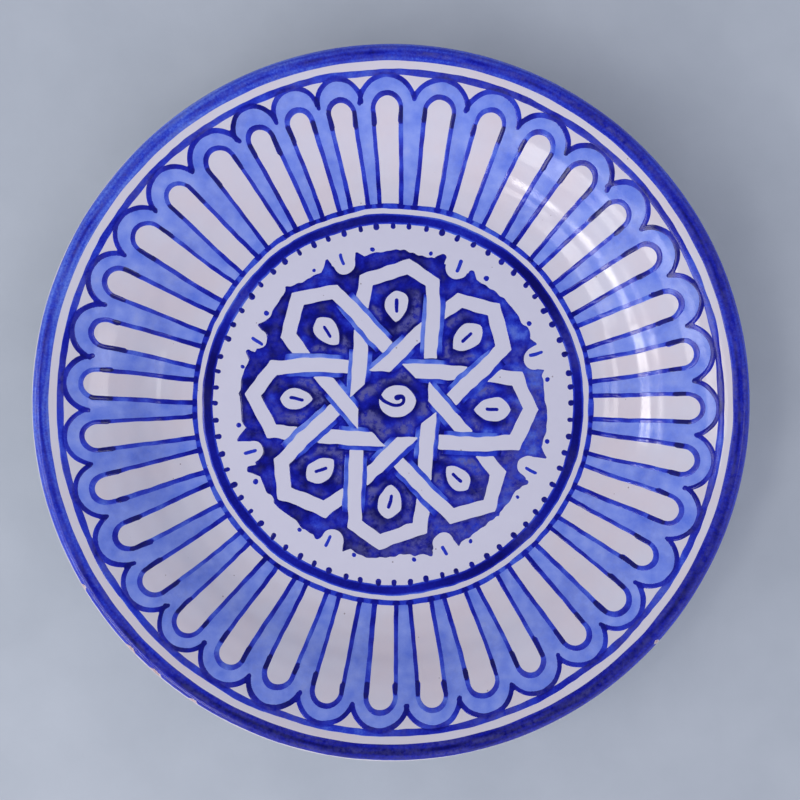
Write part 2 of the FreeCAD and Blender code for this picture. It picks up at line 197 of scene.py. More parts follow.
def front_profile():
    """The painted face from the axis to the widest point of the lip, as a dense table.

    Its rows are radius, height and the two parts of the normal.
    """
    floor_radii = np.linspace(0, FLOOR_RADIUS, 100)
    floor = np.array(
        [
            floor_radii,
            np.full_like(floor_radii, FLOOR_HEIGHT),
            np.zeros_like(floor_radii),
            np.ones_like(floor_radii),
        ]
    )
    bend = arc_profile(BEND_CENTRE, FLOOR_BEND_RADIUS, -90, STEEPEST_SLOPE - 90, -1)
    sweep = arc_profile(SWEEP_CENTRE, SWEEP_RADIUS, 90 + STEEPEST_SLOPE, 90 + RIM_SLOPE, 1)
    lip = arc_profile(LIP_CENTRE, LIP_RADIUS, 90 + RIM_SLOPE, 0, 1)
    return np.hstack([floor, bend, sweep, lip])


FRONT = front_profile()
FRONT_LENGTH = np.concatenate([[0], np.cumsum(np.hypot(*np.diff(FRONT[:2], axis=1)))])


def length_at(radius):
    """Distance along the face from the axis out to a radius."""
    return np.interp(radius, FRONT[0], FRONT_LENGTH)


DRIFT_WAVES = 7


def drift(x, y, wavelength, seed):
    """Smooth wandering over the plane, about -1 to 1: a seeded sum of waves in all directions."""
    draw = np.random.default_rng(seed)
    total = 0
    for _ in range(DRIFT_WAVES):
        turn = draw.uniform(0, 2 * math.pi)
        length = wavelength * draw.uniform(0.7, 1.5)
        phase = draw.uniform(0, 2 * math.pi)
        total = total + np.sin((x * np.cos(turn) + y * np.sin(turn)) * 2 * math.pi / length + phase)
    return total / math.sqrt(DRIFT_WAVES)


def smooth_step(low, high, value):
    share = np.clip((value - low) / (high - low), 0, 1)
    return share * share * (3 - 2 * share)


def warp(radius, angle):
    """The kiln's pull on the rim: it rises and falls a little, twice round."""
    return 0.25 * np.sin(2 * angle + 0.8) * smooth_step(FLOOR_RADIUS, RIM_RADIUS, radius)


def unevenness(radius, angle):
    """What the thrower's fingers leave on the wall: faint rings and shallow dents."""
    wall = smooth_step(FLOOR_RADIUS - 8, FLOOR_RADIUS + 12, radius)
    wall = wall * (1 - smooth_step(RIM_BAND_INNER - 2, RIM_BAND_INNER + 3, radius))
    rings = 0.055 * np.sin(2 * math.pi * radius / 8.3 + 1.3 * np.sin(angle + 1))
    dents = 0.05 * drift(radius * np.cos(angle), radius * np.sin(angle), 26, 5)
    return wall * (rings + dents)


CHIPS = ((223.5, 2.6, 0.7), (229.0, 3.2, 0.9), (236.5, 2.0, 0.5), (211.0, 1.6, 0.4), (318.0, 1.4, 0.35))
CHIP_LIP_ANGLE = 38.0


def chip_depth(length, angle):
    """How deep the chips in the lip go; each is an angle, a half length and a depth."""
    chip_length = FRONT_LENGTH[-1] - math.radians(CHIP_LIP_ANGLE) * LIP_RADIUS
    across = (length - chip_length) / 1.5
    depth = np.zeros(np.broadcast(length, angle).shape)
    for at, half_length, deep in CHIPS:
        along = (angle - math.radians(at)) * RIM_RADIUS / half_length
        ragged = 1 + 0.35 * np.sin(angle * 900 + at) * np.sin(length * 3.1)
        depth = np.maximum(depth, deep * np.clip(1 - (along**2 + across**2) * ragged, 0, 1) ** 0.5)
    return depth


def on_dish(length, angle, lift):
    """Points in metres on the painted face, lifted out of it by lift."""
    radius, height, out, up = (np.interp(length, FRONT_LENGTH, row) for row in FRONT)
    lifted = lift - chip_depth(length, np.mod(angle, 2 * math.pi))
    height = height + warp(radius, angle) + unevenness(radius, angle) + lifted * up
    radius = radius + lifted * out
    return np.stack([radius * np.cos(angle), radius * np.sin(angle), height], axis=-1) * MM


# ---------------------------------------------------------------- meshes

SEGMENTS = 480
AROUND = np.linspace(0, 2 * math.pi, SEGMENTS, endpoint=False)


def make_piece(name, node, points, polygons, smooth, material, tints=None):
    """A mesh from numpy arrays; polygons is a list of index arrays, one row for each polygon."""
    corners = np.concatenate([block.ravel() for block in polygons])
    sizes = np.concatenate([np.full(len(block), block.shape[1]) for block in polygons])
    starts = np.concatenate([[0], np.cumsum(sizes)[:-1]])
    mesh = bpy.data.meshes.new(name)
    mesh.vertices.add(len(points))
    mesh.vertices.foreach_set("co", points.astype(np.float32).ravel())
    mesh.loops.add(len(corners))
    mesh.loops.foreach_set("vertex_index", corners.astype(np.int32))
    mesh.polygons.add(len(sizes))
    mesh.polygons.foreach_set("loop_start", starts.astype(np.int32))
    mesh.update(calc_edges=True)
    flags = np.concatenate([np.full(len(block), flag) for block, flag in zip(polygons, smooth)])
    mesh.polygons.foreach_set("use_smooth", flags.astype(bool))
    for tint, values in (tints or {}).items():
        attribute = mesh.attributes.new(tint, "FLOAT", "POINT")
        attribute.data.foreach_set("value", values.astype(np.float32))
    mesh.materials.append(material)
    piece = bpy.data.objects.new(name, mesh)
    bpy.context.scene.collection.objects.link(piece)
    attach(piece, "root")
    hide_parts(node)
    return piece


class Grid:
    """A regular grid over the dish. Its first axis runs right or outwards, its second up or round."""

    def __init__(self, first, second, place, closes=False):
        self.first = first
        self.second = second
        self.place = place
        self.closes = closes

    def coarser(self, stride):
        return Grid(self.first[::stride], self.second[::stride], self.place, self.closes)


def place_plan(x, y, lift):
    return on_dish(length_at(np.hypot(x, y)), np.arctan2(y, x), lift)


def place_polar(radius, angle, lift):
    return on_dish(length_at(radius), angle, lift)


def sheet_corners(inside, closes):
    """Index blocks of the polygons that fill a region of a grid, and of their outline segments.

    A cell's eight stations are its corners and, between them, its sides; a corner counts when it is
    inside, and a side when the outline crosses it.
    """
    rows, columns = inside.shape
    nodes = rows * columns
    index = np.arange(nodes).reshape(rows, columns)
    across = nodes + index
    along = 2 * nodes + index
    right = np.roll(index, -1, axis=1)
    last = columns if closes else columns - 1
    here = (slice(0, rows - 1), slice(0, last))
    there = (slice(1, rows), slice(0, last))
    stations = [
        index[here], across[here], index[there], along[there],
        right[there], np.roll(across, -1, axis=1)[here], right[here], along[here],
    ]
    stations = np.stack([station.ravel() for station in stations])
    corners = inside.ravel()[stations[0::2]]
    case = corners[0] + 2 * corners[1] + 4 * corners[2] + 8 * corners[3]
    polygons, outline = [], []
    for number in range(1, 16):
        flags = [bool(number >> bit & 1) for bit in range(4)]
        kept = []
        for corner in range(4):
            if flags[corner]:
                kept.append(2 * corner)
            if flags[corner] != flags[(corner + 1) % 4]:
                kept.append(2 * corner + 1)
        cells = stations[:, case == number]
        polygons.append(cells[kept].T)
        for one, other in zip(kept, kept[1:] + kept[:1]):
            if one % 2 and other % 2:
                outline.append(cells[[one, other]].T)
    return [block for block in polygons if len(block)], np.concatenate(outline)


def between_nodes(values, share, axis, closes_by=0.0):
    """Values at every node, and where the outline crosses the sides after it along each axis."""
    following = np.roll(values, -1, axis=axis)
    if axis == 1 and closes_by:
        following[:, -1] = values[:, 0] + closes_by
    return values + share * (following - values)


NEAR_OUTLINE = 1e-4


def painted_sheet(name, node, grid, depth, material, tints, lift=PAINT_LIFT):
    """A closed, thin sheet of paint wherever depth is above 0, thinning out at its edge.

    The grid's border stays unpainted, and no node lies exactly on the sheet's outline.
    """
    depth = depth.copy()
    depth[[0, -1], :] = np.minimum(depth[[0, -1], :], -NEAR_OUTLINE)
    if not grid.closes:
        depth[:, [0, -1]] = np.minimum(depth[:, [0, -1]], -NEAR_OUTLINE)
    depth[np.abs(depth) < NEAR_OUTLINE] = -NEAR_OUTLINE
    polygons, outline = sheet_corners(depth > 0, grid.closes)
    first, second = np.meshgrid(grid.first, grid.second, indexing="ij")
    turn = 2 * math.pi if grid.closes else 0.0
    shares = []
    for axis in (0, 1):
        following = np.roll(depth, -1, axis=axis)
        with np.errstate(divide="ignore", invalid="ignore"):
            share = depth / (depth - following)
        shares.append(np.clip(np.nan_to_num(share), 0.02, 0.98))

    def everywhere(values, closes_by=0.0):
        sides = [between_nodes(values, shares[axis], axis, closes_by) for axis in (0, 1)]
        return np.concatenate([values.ravel(), sides[0].ravel(), sides[1].ravel()])

    used = np.unique(np.concatenate([block.ravel() for block in polygons]))
    compact = np.zeros(3 * depth.size, dtype=np.int64)
    compact[used] = np.arange(len(used))
    polygons = [compact[block] for block in polygons]
    outline = compact[outline]
    inner = np.concatenate([depth.ravel(), np.zeros(2 * depth.size)])[used]
    where = everywhere(first)[used], everywhere(second, turn)[used]
    rise = lift * (1 - np.exp(-np.maximum(inner, 0) / EDGE_SOFTNESS))
    points = np.concatenate(
        [grid.place(*where, rise), grid.place(*where, np.full(len(used), -PAINT_SINK))]
    )
    under = len(used)
    undersides = [block[:, ::-1] + under for block in polygons]
    edge = np.stack(
        [outline[:, 1], outline[:, 0], outline[:, 0] + under, outline[:, 1] + under], axis=1
    )
    values = {tint: np.tile(everywhere(field)[used], 2) for tint, field in tints.items()}
    smooth = [True] * len(polygons) + [False] * (len(undersides) + 1)
    return make_piece(name, node, points, polygons + undersides + [edge], smooth, material, values)


def turned_piece(name, node, rings, material, tints=None):
    """A solid of revolution from rings of points, which close on themselves or end on the axis.

    rings has a row for each ring and the points around it. A ring on the axis becomes one point.
    """
    count = len(rings)
    on_axis = [np.allclose(ring[:, :2], 0, atol=1e-7) for ring in rings]
    points, first = [], []
    total = 0
    for ring, single in zip(rings, on_axis):
        first.append(total)
        kept = ring[:1] if single else ring
        points.append(kept)
        total += len(kept)
    around = np.arange(SEGMENTS)
    blocks = []
    last = count if not any(on_axis) else count - 1
    for number in range(last):
        other = (number + 1) % count
        here = first[number] + (0 if on_axis[number] else 1) * around
        there = first[other] + (0 if on_axis[other] else 1) * around
        if on_axis[number]:
            blocks.append(np.stack([here, there, np.roll(there, -1)], axis=1))
        elif on_axis[other]:
            blocks.append(np.stack([here, there, np.roll(here, -1)], axis=1))
        else:
            blocks.append(np.stack([here, there, np.roll(there, -1), np.roll(here, -1)], axis=1))
    values = {}
    for tint, field in (tints or {}).items():
        rows = [row[:1] if single else row for row, single in zip(field, on_axis)]
        values[tint] = np.concatenate(rows)
    piece = make_piece(
        name, node, np.concatenate(points), blocks, [True] * len(blocks), material, values
    )
    piece.data.set_sharp_from_angle(angle=math.radians(40))
    return piece


# ---------------------------------------------------------------- materials


class Nodes:
    """A short way to write the node trees of the materials and of the room."""

    def __init__(self, owner, place):
        owner.use_nodes = True
        self.tree = owner.node_tree
        self.place = self.new("TexCoord").outputs[place]

    def new(self, kind):
        return self.tree.nodes.new("ShaderNode" + kind)

    def link(self, value, socket):
        if isinstance(value, bpy.types.NodeSocket):
            self.tree.links.new(value, socket)
        else:
            socket.default_value = value

    def attribute(self, name):
        node = self.new("Attribute")
        node.attribute_name = name
        return node.outputs["Fac"]

    def noise(self, size, detail=3.0, roughness=0.55):
        """Noise whose blotches are about size millimetres across."""
        mapping = self.new("Mapping")
        mapping.inputs["Scale"].default_value = [1 / (size * MM)] * 3
        self.link(self.place, mapping.inputs["Vector"])
        node = self.new("TexNoise")
        node.inputs["Scale"].default_value = 1.0
        node.inputs["Detail"].default_value = detail
        node.inputs["Roughness"].default_value = roughness
        self.link(mapping.outputs["Vector"], node.inputs["Vector"])
        return node.outputs["Fac"]

    def cells(self, size):
        """Distance to the nearest of points about size millimetres apart, in shares of size."""
        node = self.new("TexVoronoi")
        node.inputs["Scale"].default_value = 1 / (size * MM)
        self.link(self.place, node.inputs["Vector"])
        return node.outputs["Distance"]

    def figure(self, operation, *values):
        """The result of a math node."""
        node = self.new("Math")
        node.operation = operation
        for value, socket in zip(values, node.inputs):
            self.link(value, socket)
        return node.outputs[0]

    def times(self, one, other):
        return self.figure("MULTIPLY", one, other)

    def plus(self, one, other, share=1.0):
        """one with a share of other added to it."""
        return self.figure("MULTIPLY_ADD", other, share, one)

    def spread(self, value, from_low, from_high, to_low, to_high):
        node = self.new("MapRange")
        self.link(value, node.inputs["Value"])
        for label, number in zip(
            ("From Min", "From Max", "To Min", "To Max"), (from_low, from_high, to_low, to_high)
        ):
            node.inputs[label].default_value = number
        return node.outputs["Result"]

    def ramp(self, value, stops):
        node = self.new("ValToRGB")
        elements = node.color_ramp.elements
        while len(elements) < len(stops):
            elements.new(1.0)
        for element, (position, colour) in zip(elements, stops):
            element.position = position
            element.color = (*colour, 1)
        self.link(value, node.inputs["Fac"])
        return node.outputs["Color"]

    def mix(self, share, one, other):
        node = self.new("Mix")
        node.data_type = "RGBA"
        self.link(share, node.inputs["Factor"])
        for value, socket in ((one, node.inputs[6]), (other, node.inputs[7])):
            self.link((*value, 1) if isinstance(value, tuple) else value, socket)
        return node.outputs[2]

    def radius(self):
        """Distance from the turning axis, in millimetres."""
        node = self.new("VectorMath")
        node.operation = "MULTIPLY"
        self.link(self.place, node.inputs[0])
        node.inputs[1].default_value = (1 / MM, 1 / MM, 0)
        length = self.new("VectorMath")
        length.operation = "LENGTH"
        self.link(node.outputs[0], length.inputs[0])
        return length.outputs["Value"]


class Shader(Nodes):
    """The nodes of a material."""

    def __init__(self, name):
        self.material = bpy.data.materials.new(name)
        super().__init__(self.material, "Object")
        self.surface = self.tree.nodes["Principled BSDF"]

    def bump(self, height, depth):
        """Bump of the given depth in millimetres for heights from 0 to 1."""
        node = self.new("Bump")
        node.inputs["Strength"].default_value = 1.0
        node.inputs["Distance"].default_value = depth * MM
        self.link(height, node.inputs["Height"])
        self.link(node.outputs["Normal"], self.surface.inputs["Normal"])

    def finish(self, colour, roughness):
        self.link(colour, self.surface.inputs["Base Color"])
        self.link(roughness, self.surface.inputs["Roughness"])
        self.surface.inputs["IOR"].default_value = 1.5
        return self.material


COOL_WHITE = (0.745, 0.735, 0.845)
GREY_VEIL = (0.55, 0.53, 0.66)
IRON = (0.16, 0.10, 0.10)


def white_glaze(name, warmth):
    """Opaque white glaze: cool, with warmer blotches, iron specks, pinholes and orange peel."""
    shader = Shader(name)
    blotches = shader.plus(0.5, shader.plus(shader.noise(34, 4, 0.6), -0.5), 1.6)
    colour = shader.ramp(blotches, ((0.25, (0.735, 0.722, 0.800)), (0.75, (0.760, 0.690, 0.735))))
    wall = shader.spread(shader.radius(), FLOOR_RADIUS - 6, FLOOR_RADIUS + 14, 0.0, warmth)
    colour = shader.mix(wall, COOL_WHITE, colour)
    faint = shader.spread(shader.noise(7, 5, 0.6), 0.35, 0.75, 0.0, 0.10)
    colour = shader.mix(faint, colour, GREY_VEIL)
    speck_size = shader.spread(shader.noise(23, 2), 0.45, 0.7, 0.0, 0.085)
    speck = shader.figure("LESS_THAN", shader.cells(5.5), speck_size)
    colour = shader.mix(shader.times(speck, 0.6), colour, IRON)
    bare = shader.attribute("bare")
    clay = shader.ramp(shader.noise(1.2, 4), ((0.3, (0.42, 0.27, 0.25)), (0.7, (0.70, 0.52, 0.50))))
    colour = shader.mix(bare, colour, clay)
    roughness = shader.spread(shader.noise(11, 4), 0.3, 0.7, 0.07, 0.14)
    peel = shader.plus(shader.noise(3.2, 2), shader.noise(14, 2), 2.2)
    shader.bump(shader.plus(peel, speck, -0.8), 0.016)
    return shader.finish(colour, shader.plus(roughness, bare, 0.6))


COBALT = (
    (0.00, (0.500, 0.560, 0.860)),
    (0.22, (0.270, 0.370, 0.910)),
    (0.40, (0.100, 0.190, 0.800)),
    (0.58, (0.026, 0.055, 0.620)),
    (0.74, (0.009, 0.014, 0.410)),
    (0.88, (0.004, 0.006, 0.240)),
    (1.00, (0.003, 0.003, 0.130)),
)
# The violet grey of blooming cobalt; on the interlace ground the same colour is a painted sheen.
BLOOM_AND_SHEEN = (0.11, 0.11, 0.36)


def cobalt(name, grain, bloom_and_sheen_share, roughness=0.10, cloudiness=0.22):
    """Fired cobalt: pigment says how much of it lies there. A second attribute lays a rougher, duller
    violet veil over it: real blooming cobalt on the petals, rings and rim band, and a painted sheen on the
    interlace ground, where the room's reflection is painted into the colour.
    """
    shader = Shader(name)
    sand = shader.plus(shader.noise(0.9, 2, 0.7), -0.5)
    cloud = shader.plus(shader.noise(5.0, 4, 0.6), -0.5)
    pigment = shader.plus(shader.plus(shader.attribute("pigment"), sand, grain), cloud, cloudiness)
    veil_patches = shader.spread(shader.noise(2.6, 5, 0.65), 0.34, 0.58, 0.0, 1.0)
    bloom_and_sheen_veil = shader.times(shader.times(shader.attribute("bloom_and_sheen"), veil_patches), bloom_and_sheen_share)
    rough = shader.spread(shader.noise(8, 3), 0.3, 0.7, roughness - 0.02, roughness + 0.06)
    shader.bump(shader.plus(shader.noise(2.4, 3), pigment, 1.2), 0.022)
    colour = shader.mix(bloom_and_sheen_veil, shader.ramp(pigment, COBALT), BLOOM_AND_SHEEN)
    return shader.finish(colour, shader.plus(rough, bloom_and_sheen_veil, 0.30))


def bare_clay():
    shader = Shader("bare_clay")
    colour = shader.ramp(
        shader.noise(6, 6, 0.65),
        ((0.3, (0.36, 0.20, 0.12)), (0.55, (0.50, 0.30, 0.19)), (0.8, (0.62, 0.42, 0.29))),
    )
    grit = shader.figure("LESS_THAN", shader.cells(1.6), 0.16)
    colour = shader.mix(shader.times(grit, 0.5), colour, (0.20, 0.11, 0.07))
    shader.bump(shader.noise(0.8, 5, 0.7), 0.10)
    return shader.finish(colour, shader.spread(shader.noise(4, 3), 0.3, 0.7, 0.75, 0.92))


# ---------------------------------------------------------------- clay and glaze


def face_rings(lengths, lift):
    """Rings of points on the painted face, moved out of it by lift."""
    return [on_dish(np.full(SEGMENTS, length), AROUND, lift) for length in lengths]


def ring_at(radius, height):
    """A ring of points on the outside or the foot; it follows the warp of the rim."""
    ring = np.stack([radius * np.cos(AROUND), radius * np.sin(AROUND), height + warp(radius, AROUND)])
    return ring.T * MM


def rounded(centre_radius, centre_height, radius, start, end, count=6):
    """Rings along a rounded corner of the outside or the foot."""
    directions = [unit(angle) for angle in np.linspace(start, end, count)]
    return [ring_at(centre_radius + radius * cos, centre_height + radius * sin) for cos, sin in directions]


def face_lengths():
    """Where the rings of the glaze lie along the face: close on the wall, closer on the lip."""
    floor_end = length_at(FLOOR_RADIUS)
    lip_start = FRONT_LENGTH[-1] - math.radians(90 + RIM_SLOPE) * LIP_RADIUS
    return np.concatenate(
        [
            np.linspace(0, floor_end, 34, endpoint=False),
            np.linspace(floor_end, lip_start, 84, endpoint=False),
            np.linspace(lip_start, FRONT_LENGTH[-1], 16),
        ]
    )


def back_rings(offset, foot_radius):
    """Rings on the outside, moved out by offset, from the widest point of the lip to the foot."""
    arcs = (
        (LIP_CENTRE, LIP_RADIUS + offset, 0, RIM_SLOPE - 90, 10),
        (SWEEP_CENTRE, SWEEP_RADIUS - WALL_THICKNESS - offset, 90 + RIM_SLOPE,
         90 + STEEPEST_SLOPE, 36),
        (BEND_CENTRE, FLOOR_BEND_RADIUS + WALL_THICKNESS + offset, STEEPEST_SLOPE - 90, -90, 30),
    )
    rings = []
    for centre, radius, start, end, count in arcs:
        for angle in np.linspace(start, end, count, endpoint=False):
            cos, sin = unit(angle)
            out, height = centre[0] + radius * cos, centre[1] + radius * sin
            ribs = 0.06 * math.sin(out * 0.9) * smooth_step(FLOOR_RADIUS, RIM_RADIUS - 12, out)
            rings.append(ring_at(out, height - ribs * (1 - smooth_step(RIM_RADIUS - 8, RIM_RADIUS, out))))
    underside = FLOOR_HEIGHT - WALL_THICKNESS - offset
    fillet = min(1.2, FLOOR_RADIUS - foot_radius)
    rings.append(ring_at(foot_radius + fillet + 0.4, underside))
    return rings + rounded(foot_radius + fillet, underside - fillet, fillet, 90, 180)


def clay_body():
    """The fired clay. Only its foot ring is bare; the rest is under the glaze."""
    clay = -GLAZE_THICKNESS
    outer, inner = FOOT_OUTER_RADIUS + clay, FOOT_INNER_RADIUS - clay
    ceiling = FLOOR_HEIGHT - WALL_THICKNESS - clay
    edge = FOOT_EDGE_CHAMFER
    rings = face_rings(face_lengths()[::2], clay)
    rings += back_rings(clay, outer)
    rings += rounded(outer - edge, edge, edge, 0, -90)
    rings += [ring_at(radius, 0.0) for radius in np.linspace(outer - edge, inner + edge, 5)[1:-1]]
    rings += rounded(inner + edge, edge, edge, -90, -180)
    rings += [ring_at(radius, ceiling) for radius in (inner, inner / 2, 0.0)]
    turned_piece("clay", "clay_body", rings, bare_clay())


def front_glaze():
    lengths = face_lengths()
    outside = face_rings(lengths, 0.0)
    inside = face_rings(lengths[::-5], -GLAZE_THICKNESS) + face_rings([0.0], -GLAZE_THICKNESS)
    bare = [smooth_step(0.05, 0.3, chip_depth(np.full(SEGMENTS, s), AROUND)) for s in lengths]
    bare += [np.zeros(SEGMENTS) for _ in inside]
    turned_piece(
        "front_glaze", "glaze_front", outside + inside, white_glaze("white_glaze", 1.0), {"bare": bare}
    )


def hem_ring(radius):
    """The wiped, slightly ragged edge of the glaze just above the resting ring."""
    ring = ring_at(radius, BARE_FOOT_HEIGHT + 0.3)
    ragged = 0.25 * drift(FOOT_OUTER_RADIUS * np.cos(AROUND), FOOT_OUTER_RADIUS * np.sin(AROUND), 9, 6)
    ring[:, 2] += ragged * MM
    return ring


def back_glazes():
    """The glaze on the outside and in the well of the foot; it stops short of the resting ring."""
    glaze = white_glaze("white_glaze_back", 0.6)
    outside = back_rings(0.0, FOOT_OUTER_RADIUS)
    hem = [hem_ring(FOOT_OUTER_RADIUS), hem_ring(FOOT_OUTER_RADIUS - GLAZE_THICKNESS)]
    inside = back_rings(-GLAZE_THICKNESS, FOOT_OUTER_RADIUS - GLAZE_THICKNESS)[::-1]
    turned_piece("back_glaze", "glaze_back", outside + hem + inside, glaze)

    ceiling = FLOOR_HEIGHT - WALL_THICKNESS
    fillet = 1.5
    rings = [ring_at(radius, ceiling) for radius in np.linspace(0, FOOT_INNER_RADIUS - fillet - 0.5, 24)]
    rings += rounded(FOOT_INNER_RADIUS - fillet, ceiling - fillet, fillet, 90, 0, 7)
    rings += [hem_ring(FOOT_INNER_RADIUS), hem_ring(FOOT_INNER_RADIUS + GLAZE_THICKNESS)]
    rings.append(ring_at(FOOT_INNER_RADIUS + GLAZE_THICKNESS, ceiling + GLAZE_THICKNESS))
    rings.append(ring_at(0.0, ceiling + GLAZE_THICKNESS))
    turned_piece("foot_well_glaze", "glaze_foot_well", rings[::-1], glaze)


# ---------------------------------------------------------------- brush strokes


def unit(angle):
    turn = math.radians(angle)
    return math.cos(turn), math.sin(turn)


def along_ray(x, y, angle):
    """How far out along a ray from the centre points lie, and how far to its left."""
    cos, sin = unit(angle)
    return x * cos + y * sin, y * cos - x * sin


def beside_ray(radius, angle, at, half_angle):
    """Which points are within half_angle of a ray, with their distances along and to its left."""
    turn = (angle - at + 180) % 360 - 180
    near = np.abs(turn) < half_angle
    turn = np.radians(turn[near])
    return near, radius[near] * np.cos(turn), radius[near] * np.sin(turn)


def to_segment(x, y, start, end):
    """Distance to a straight stroke's centre-line, and how far along it the nearest point is."""
    along_x, along_y = end[0] - start[0], end[1] - start[1]
    share = ((x - start[0]) * along_x + (y - start[1]) * along_y) / (along_x**2 + along_y**2)
    share = np.clip(share, 0, 1)
    return np.hypot(x - start[0] - share * along_x, y - start[1] - share * along_y), share


def to_arc(x, y, centre, radius, end_angles):
    """Distance to an arc about centre that runs between two angles either side of +X."""
    turn = np.arctan2(y - centre[1], x - centre[0])
    held = np.clip(turn, np.radians(end_angles[0]), np.radians(end_angles[1]))
    nearest_x, nearest_y = centre[0] + radius * np.cos(held), centre[1] + radius * np.sin(held)
    return np.hypot(x - nearest_x, y - nearest_y)


def soaked(depth):
    """How fully a stroke covers a point: 0 half a millimetre outside, 1 inside."""
    return smooth_step(-0.5, 0.05, depth)


UNPAINTED = -9.0


class Coat:
    """A coat of paint in the making: how deep points lie in its strokes, and its ink and bloom."""

    def __init__(self, shape):
        self.depth = np.full(shape, UNPAINTED)
        self.ink = np.zeros(shape)
        self.bloom_and_sheen = np.zeros(shape)

    def add(self, depth, ink=0.0, bloom_and_sheen=0.0, near=...):
        """Lay a stroke over the coat; near says which points the stroke's values are for."""
        self.depth[near] = np.maximum(self.depth[near], depth)
        self.ink[near] += ink
        self.bloom_and_sheen[near] += bloom_and_sheen


def shaky(x, y, slow, quick, seed):
    """The plane as an unsteady hand sees it: shifted slowly by slow and quickly by quick."""
    shifted = []
    for number, value in enumerate((x, y)):
        value = value + slow * drift(x, y, 40, seed + number)
        shifted.append(value + quick * drift(x, y, 7, seed + 10 + number))
    return shifted


# ---------------------------------------------------------------- paint on the wall

WALL_STEP = 0.5
WALL_START = 81.0
WALL_STOP = 150.2
WALL_COLUMNS = 1500
WALL = Grid(
    np.arange(WALL_START, WALL_STOP, WALL_STEP),
    np.linspace(0, 2 * math.pi, WALL_COLUMNS, endpoint=False),
    place_polar,
    closes=True,
)


class Petal:
    """One petal as the painter happened to paint it."""

    def __init__(self, angle, scale, draw):
        self.angle = angle + draw.normal(0, 0.12)
        self.scale = scale
        self.shoulder = TONGUE_SHOULDER_RADIUS + draw.normal(0, 0.7)
        self.top_half_width = TONGUE_TOP_HALF_WIDTH * (0.5 + 0.5 * scale) + draw.normal(0, 0.18)
        self.foot_half_width = TONGUE_FOOT_HALF_WIDTH * scale + draw.normal(0, 0.15)
        self.leg_ends = self.shoulder + draw.normal(-0.6, 1.3, 2)
        self.arch_starts = self.shoulder + draw.normal(-5.2, 1.3, 2)
        self.leg_inks = draw.normal(0.66, 0.05, 2)
        self.leg_widths = PETAL_STROKE * draw.normal(1.0, 0.06, 2)
        self.arch_offsets = draw.normal(0, 0.35, 2)
        self.arch_ink = draw.normal(0.68, 0.07)
        self.arch_width = PETAL_STROKE * draw.normal(0.98, 0.06)
        self.scallop_ink = draw.normal(0.74, 0.06)
        self.scallop_width = SCALLOP_STROKE * draw.normal(1.0, 0.05)
        self.scallop_shift = draw.normal(0, 0.35)
        self.tails = draw.uniform(-4, 7, 2)
        self.bloom_and_sheen = draw.uniform(0.2, 1.0)

    def half_width(self, out):
        share = (out - OUTER_LINE_OUTER) / (self.shoulder - OUTER_LINE_OUTER)
        return self.foot_half_width + share * (self.top_half_width - self.foot_half_width)


def petals():
    draw = np.random.default_rng(36)
    angle = FIRST_PETAL_ANGLE - NARROW_PETAL_PITCH / 2
    laid = []
    for number in range(PETAL_COUNT):
        pitch = NARROW_PETAL_PITCH if number < NARROW_PETAL_COUNT else WIDE_PETAL_PITCH
        laid.append(Petal(angle + pitch / 2, pitch / WIDE_PETAL_PITCH, draw))
        angle += pitch
    return laid


def leg_strokes(petal, x, y):
    """Depth and ink of a petal's two long strokes, from the ring line to the start of its arch."""
    coat = Coat(x.shape)
    for side, end, width, dark in zip((1, -1), petal.leg_ends, petal.leg_widths, petal.leg_inks):
        foot = (OUTER_LINE_OUTER - 1.0, side * petal.foot_half_width)
        distance, share = to_segment(x, y, foot, (end, side * petal.half_width(end)))
        inside = width / 2 * (1 - 0.10 * np.sin(share * 2.2)) - distance
        coat.add(inside, soaked(inside) * (dark + 0.12 * (1 - share) ** 3 - 0.10 * share**2))
    return coat.depth, coat.ink


def arch_stroke(petal, x, y):
    """Depth, ink and bloom of the bent stroke over the round top of a petal's tongue."""
    half_width = petal.top_half_width
    distance = np.abs(np.hypot(x - petal.shoulder, y) - half_width)
    for side, start, offset in zip((1, -1), petal.arch_starts, petal.arch_offsets):
        begin = (start, side * (petal.half_width(start) + offset))
        straight, _ = to_segment(x, y, begin, (petal.shoulder, side * half_width))
        distance = np.where((x < petal.shoulder) & (y * side > 0), straight, distance)
    top = smooth_step(petal.shoulder + 1, petal.shoulder + half_width, x)
    depth = petal.arch_width / 2 * (1 + 0.10 * top) - distance
    ink = soaked(depth) * (petal.arch_ink + 0.12 * top)
    bloom_and_sheen = soaked(depth) * petal.bloom_and_sheen * smooth_step(petal.shoulder - 1, petal.shoulder + 4, x)
    return depth, ink, bloom_and_sheen


def tongue_depth(petal, x, y):
    dome = petal.top_half_width - np.hypot(x - petal.shoulder, y)
    return np.where(x > petal.shoulder, dome, petal.half_width(x) - np.abs(y))


def scallop_arc(petal):
    """Centre and radius of a petal's arch in the scalloped edge, and the angle of its cusps."""
    half_width = SCALLOP_CUSP_RADIUS * math.tan(math.radians(WIDE_PETAL_PITCH / 2)) * petal.scale
    rise = SCALLOP_TOP_RADIUS - SCALLOP_CUSP_RADIUS
    radius = (half_width**2 + rise**2) / (2 * rise)
    centre = SCALLOP_TOP_RADIUS + petal.scallop_shift - radius
    return centre, radius, math.degrees(math.atan2(half_width, SCALLOP_CUSP_RADIUS - centre))


def scallop_stroke(petal, x, y):
    """Depth and ink of one arch of the scalloped edge; its ends run past the cusps and pool."""
    centre, radius, cusp = scallop_arc(petal)
    ends = (-cusp - petal.tails[0], cusp + petal.tails[1])
    distance = to_arc(x, y, (centre, 0), radius, ends)
    depth = petal.scallop_width / 2 - distance
    turn = np.degrees(np.arctan2(y, x - centre))
    pool = smooth_step(cusp - 8, cusp + 8, np.abs(turn))
    return depth, soaked(depth) * (petal.scallop_ink + 0.07 * pool)


OUTLINE_FULL_INK = 0.94
SCALLOP_FULL_INK = 0.84


